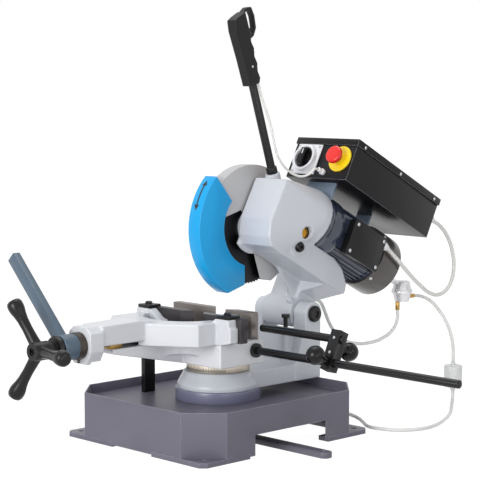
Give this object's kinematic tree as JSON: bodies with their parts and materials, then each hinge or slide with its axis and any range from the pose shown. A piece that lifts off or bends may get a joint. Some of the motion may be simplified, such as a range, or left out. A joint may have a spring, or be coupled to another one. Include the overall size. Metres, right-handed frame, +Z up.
{
  "type": "cold saw",
  "caption": "Bench cold saw with a tilting gear head on a mitre turntable, swinging blade guard, screw vise with clamp lever, bar stop and coolant pump on a tray base",
  "frame": {"origin": "on the floor under the turntable axis, at the centre of the four foot bolts", "axes": "+X to the operator's right, +Y to the back where the motor is, +Z up"},
  "size_m": [0.8725, 1.1196, 0.9146],
  "materials": {
    "base_paint": "satin",
    "bar_steel": "worn",
    "tank_metal": "satin",
    "brass": "satin",
    "pedestal_paint": "satin",
    "black_metal": "satin",
    "scale_metal": "matte",
    "vise_paint": "satin",
    "jaw_steel": "satin",
    "head_paint": "satin",
    "filter_plastic": "gloss",
    "bearing_steel": "polished",
    "motor_paint": "satin",
    "cover_paint": "satin",
    "black_plastic": "matte",
    "box_paint": "satin",
    "bracket_paint": "satin",
    "yellow_plastic": "gloss",
    "red_plastic": "gloss",
    "blade_steel": "satin",
    "guard_blue": "gloss",
    "lever_paint": "satin",
    "cable_white": "matte",
    "hose_clear": "gloss"
  },
  "bodies": {
    "base": {"base_tray": "base_paint", "corner_feet": "base_paint", "floor_bar": "bar_steel", "coolant_tank": "tank_metal", "hose_port": "brass", "pedestal": "pedestal_paint", "vise_post": "black_metal", "mitre_scale": "scale_metal", "vise_table": "vise_paint", "screw_nut": "brass", "fixed_jaws": "jaw_steel", "tank_hose": "hose_clear"},
    "turntable": {"turntable": "head_paint", "pivot_pin": "black_metal", "stop_bolt": "bar_steel", "hose_filter": "filter_plastic"},
    "head": {"head_casting": "head_paint", "spindle_bearings": "bearing_steel", "upper_guard": "head_paint", "motor_body": "motor_paint", "fan_cover": "cover_paint", "terminal_box": "black_plastic", "oil_fittings": "brass", "electrical_box": "box_paint", "box_lid": "box_paint", "box_brackets": "bracket_paint", "switch_plate": "filter_plastic", "estop_disc": "yellow_plastic", "handle_tube": "black_metal", "pistol_grip": "black_plastic", "pump_bracket": "tank_metal", "coolant_pump": "tank_metal", "hose_barbs": "brass", "cable_glands": "filter_plastic", "return_spring": "bar_steel", "handle_cable": "cable_white", "motor_cable": "cable_white", "pump_hose": "hose_clear", "suction_hose": "hose_clear"},
    "blade": {"saw_blade": "blade_steel", "blade_flange": "bar_steel", "spindle": "bar_steel", "worm_wheel": "brass"},
    "worm": {"worm_shaft": "bar_steel", "cooling_fan": "black_plastic"},
    "guard": {"lower_guard": "guard_blue"},
    "carrier": {"thrust_ring": "brass"},
    "yoke": {"vise_yoke": "vise_paint", "moving_jaws": "jaw_steel"},
    "screw": {"lead_screw": "bar_steel", "handwheel": "black_plastic"},
    "lever": {"clamp_lever": "lever_paint"},
    "rail": {"stop_rail": "black_metal"},
    "block": {"stop_block": "black_metal"},
    "rod": {"stop_rod": "black_metal"},
    "rail_clamp": {"rail_knob": "black_plastic"},
    "rod_clamp": {"rod_knob": "black_plastic"},
    "trigger": {"trigger": "black_plastic"},
    "estop": {"estop_button": "red_plastic"},
    "switch": {"switch_knob": "black_plastic"}
  },
  "joints": [
    {"name": "swivel", "type": "hinge", "parent": "base", "child": "turntable", "pos_m": [0, 0, 0], "axis": [0, 0, 1], "range_deg": [-45, 45]},
    {"name": "head_pivot", "type": "hinge", "parent": "turntable", "child": "head", "pos_m": [0, 0.214, 0.249], "axis": [1, 0, 0], "range_deg": [0, 36]},
    {"name": "blade_spin", "type": "hinge", "parent": "head", "child": "blade", "pos_m": [0, 0.08704, 0.44474], "axis": [1, 0, 0], "continuous": true},
    {"name": "worm_spin", "type": "hinge", "parent": "head", "child": "worm", "pos_m": [0.072, 0.29596, 0.40644], "axis": [0, 0.887, -0.4617], "continuous": true},
    {"name": "guard_swing", "type": "hinge", "parent": "head", "child": "guard", "pos_m": [0, 0.08704, 0.44474], "axis": [1, 0, 0], "range_deg": [-92, 1]},
    {"name": "vise_slide", "type": "slide", "parent": "base", "child": "carrier", "axis": [0, -1, 0], "range_m": [-0.0575, 0.045]},
    {"name": "screw_turn", "type": "hinge", "parent": "carrier", "child": "screw", "pos_m": [-0.028, -0.44, 0.23], "axis": [0, -1, 0], "range_deg": [-4180, 3275]},
    {"name": "lever_swing", "type": "hinge", "parent": "carrier", "child": "lever", "pos_m": [-0.028, -0.385, 0.23], "axis": [0, 1, 0], "range_deg": [0, 60]},
    {"name": "yoke_clamp", "type": "slide", "parent": "carrier", "child": "yoke", "axis": [0, 1, 0], "range_m": [0, 0.0041]},
    {"name": "rail_swing", "type": "hinge", "parent": "base", "child": "rail", "pos_m": [0.2, 0.003, 0.196], "axis": [1, 0, 0], "range_deg": [0, 40]},
    {"name": "block_slide", "type": "slide", "parent": "rail", "child": "block", "axis": [1, 0, 0], "range_m": [0, 0.27]},
    {"name": "rod_slide", "type": "slide", "parent": "block", "child": "rod", "axis": [1, 0, 0], "range_m": [0, 0.1]},
    {"name": "rail_knob_turn", "type": "hinge", "parent": "block", "child": "rail_clamp", "pos_m": [0.327, 0.003, 0.196], "axis": [0, -0.9063, 0.4226], "range_deg": [0, 180]},
    {"name": "rod_knob_turn", "type": "hinge", "parent": "block", "child": "rod_clamp", "pos_m": [0.327, 0.01885, 0.22999], "axis": [0, 0.9063, -0.4226], "range_deg": [0, 180]},
    {"name": "trigger_pull", "type": "slide", "parent": "head", "child": "trigger", "axis": [0, -0.9537, -0.3007], "range_m": [0, 0.005], "stiffness_N_per_m": 400},
    {"name": "estop_press", "type": "slide", "parent": "head", "child": "estop", "axis": [0, 0.887, -0.4617], "range_m": [0, 0.006], "stiffness_N_per_m": 800},
    {"name": "switch_turn", "type": "hinge", "parent": "head", "child": "switch", "pos_m": [0.023, 0.25058, 0.58565], "axis": [0, 0.887, -0.4617], "range_deg": [0, 90]}
  ],
  "couplings": [
    {"joint": "worm_spin", "follows": "blade_spin", "ratio": 32},
    {"joint": "guard_swing", "follows": "head_pivot", "ratio": -2.5},
    {"joint": "screw_turn", "follows": "vise_slide", "rad_per_m": 1256.6},
    {"joint": "yoke_clamp", "follows": "lever_swing", "m_per_rad": 0.00382}
  ]
}
